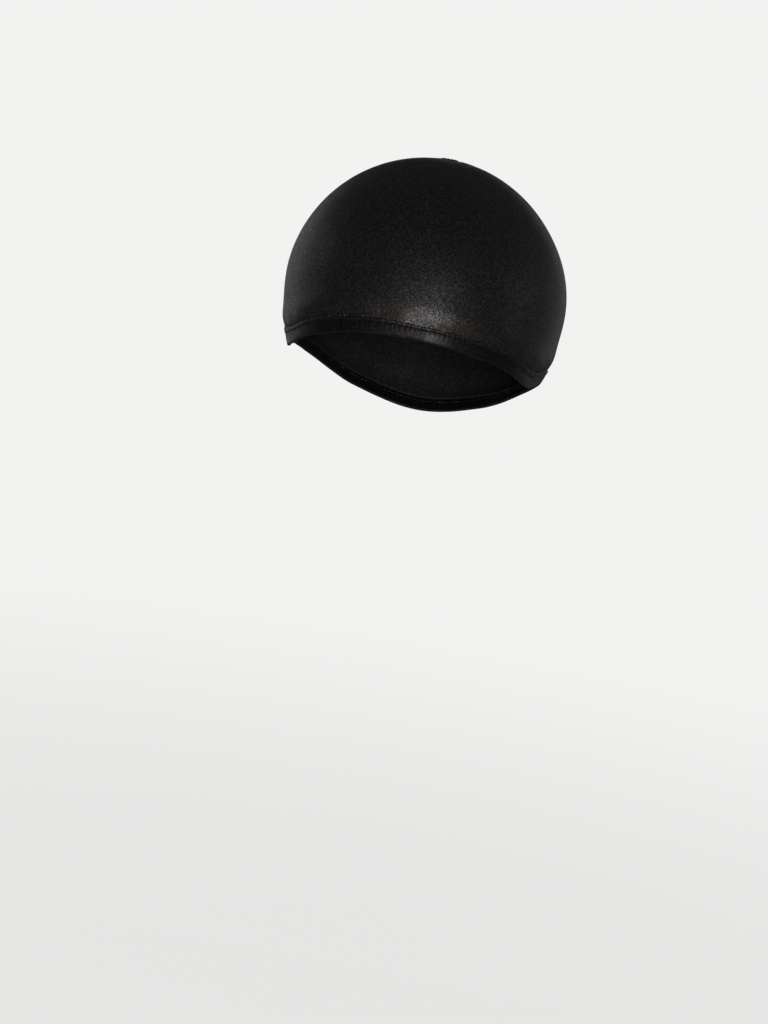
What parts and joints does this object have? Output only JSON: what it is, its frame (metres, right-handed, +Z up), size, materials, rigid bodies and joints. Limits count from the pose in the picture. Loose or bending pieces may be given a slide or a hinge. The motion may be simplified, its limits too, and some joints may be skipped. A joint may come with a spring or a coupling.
{
  "type": "wave cap",
  "caption": "Close-fitting black stretch-knit cap in its worn form, with a turned elastic hem, a seam welt and a gathered closure at the top.",
  "frame": {"origin": "underside of the crown's top, where the top of a head bears", "axes": "+Z up, -Y towards the forehead, +X towards the wearer's left ear"},
  "size_m": [0.1578, 0.2005, 0.145],
  "materials": {
    "crown_knit": "fine satin-faced stretch knit, black",
    "hem_casing": "turned elastic casing of the same knit, pulled smooth, black",
    "seam_welt": "narrow sewn welt of doubled knit, black",
    "closure_knit": "gathered and sewn knit, black"
  },
  "bodies": {
    "root": {"crown": "crown_knit", "hem_band": "hem_casing", "hem_seam": "seam_welt", "crown_closure": "closure_knit"}
  },
  "joints": []
}
